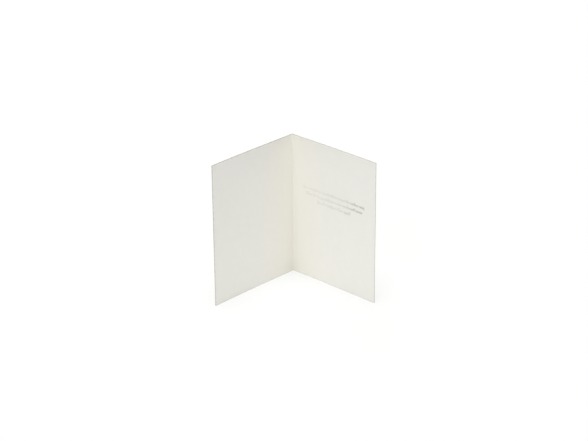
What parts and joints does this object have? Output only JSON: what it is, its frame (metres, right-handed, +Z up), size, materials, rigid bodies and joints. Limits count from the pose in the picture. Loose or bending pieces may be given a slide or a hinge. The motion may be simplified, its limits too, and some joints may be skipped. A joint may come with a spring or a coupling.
{
  "type": "greeting card",
  "caption": "Folded card of ivory stock, standing open on its bottom edges, with a short centred foil verse inside the right leaf.",
  "frame": {"origin": "under the middle of the card's box, on the surface that it stands on", "axes": "+Z up along the fold, +X across the opening towards the leaf with the verse, -Y out of the opening, with the fold at +Y"},
  "size_m": [0.1846, 0.0876, 0.178],
  "materials": {
    "ivory_card_stock": "matte",
    "silver_foil": "satin"
  },
  "bodies": {
    "root": {"card": "ivory_card_stock", "verse_foil": "silver_foil"}
  },
  "joints": []
}
